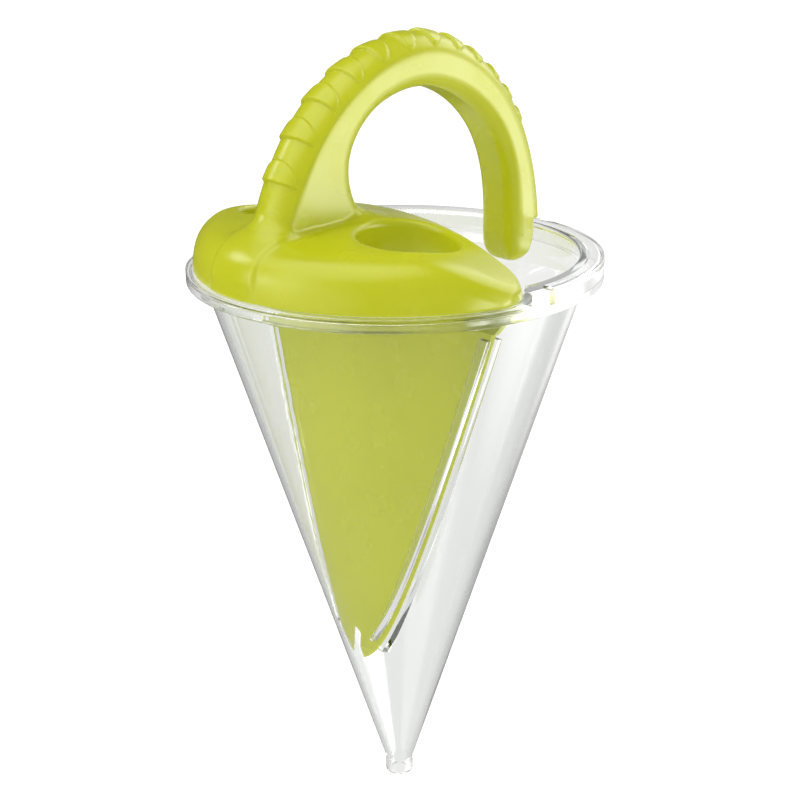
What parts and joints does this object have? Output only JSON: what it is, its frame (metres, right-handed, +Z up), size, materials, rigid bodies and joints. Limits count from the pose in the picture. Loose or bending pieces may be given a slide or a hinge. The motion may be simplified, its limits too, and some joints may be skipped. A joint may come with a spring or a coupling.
{
  "type": "two-chamber sand and water dribble funnel",
  "caption": "Clear conical funnel with a drop-in insert: half-dome cap with two filler holes, a partition wall and a hook handle, so that sand and water run out together.",
  "frame": {"origin": "on the cone's axis, in the plane of the underside of the rim band", "axes": "+Z up along the cone's axis, away from the spout; the handle lies in the XZ plane with its foot at -X and its free end at +X"},
  "size_m": [0.156, 0.156, 0.3126],
  "materials": {
    "clear_plastic": "clear, glossy moulded plastic",
    "lime_plastic": "opaque lime-green moulded plastic, glossy with a fine moulded grain"
  },
  "bodies": {
    "funnel": {"funnel": "clear_plastic"},
    "insert": {"chamber_cap": "lime_plastic", "partition_wall": "lime_plastic", "handle_body": "lime_plastic", "grip_cover": "lime_plastic"}
  },
  "joints": [
    {"name": "insert_lift", "type": "slide", "parent": "funnel", "child": "insert", "axis": [0.0499, 0, 0.9988], "range_m": [0, 0.175]}
  ]
}
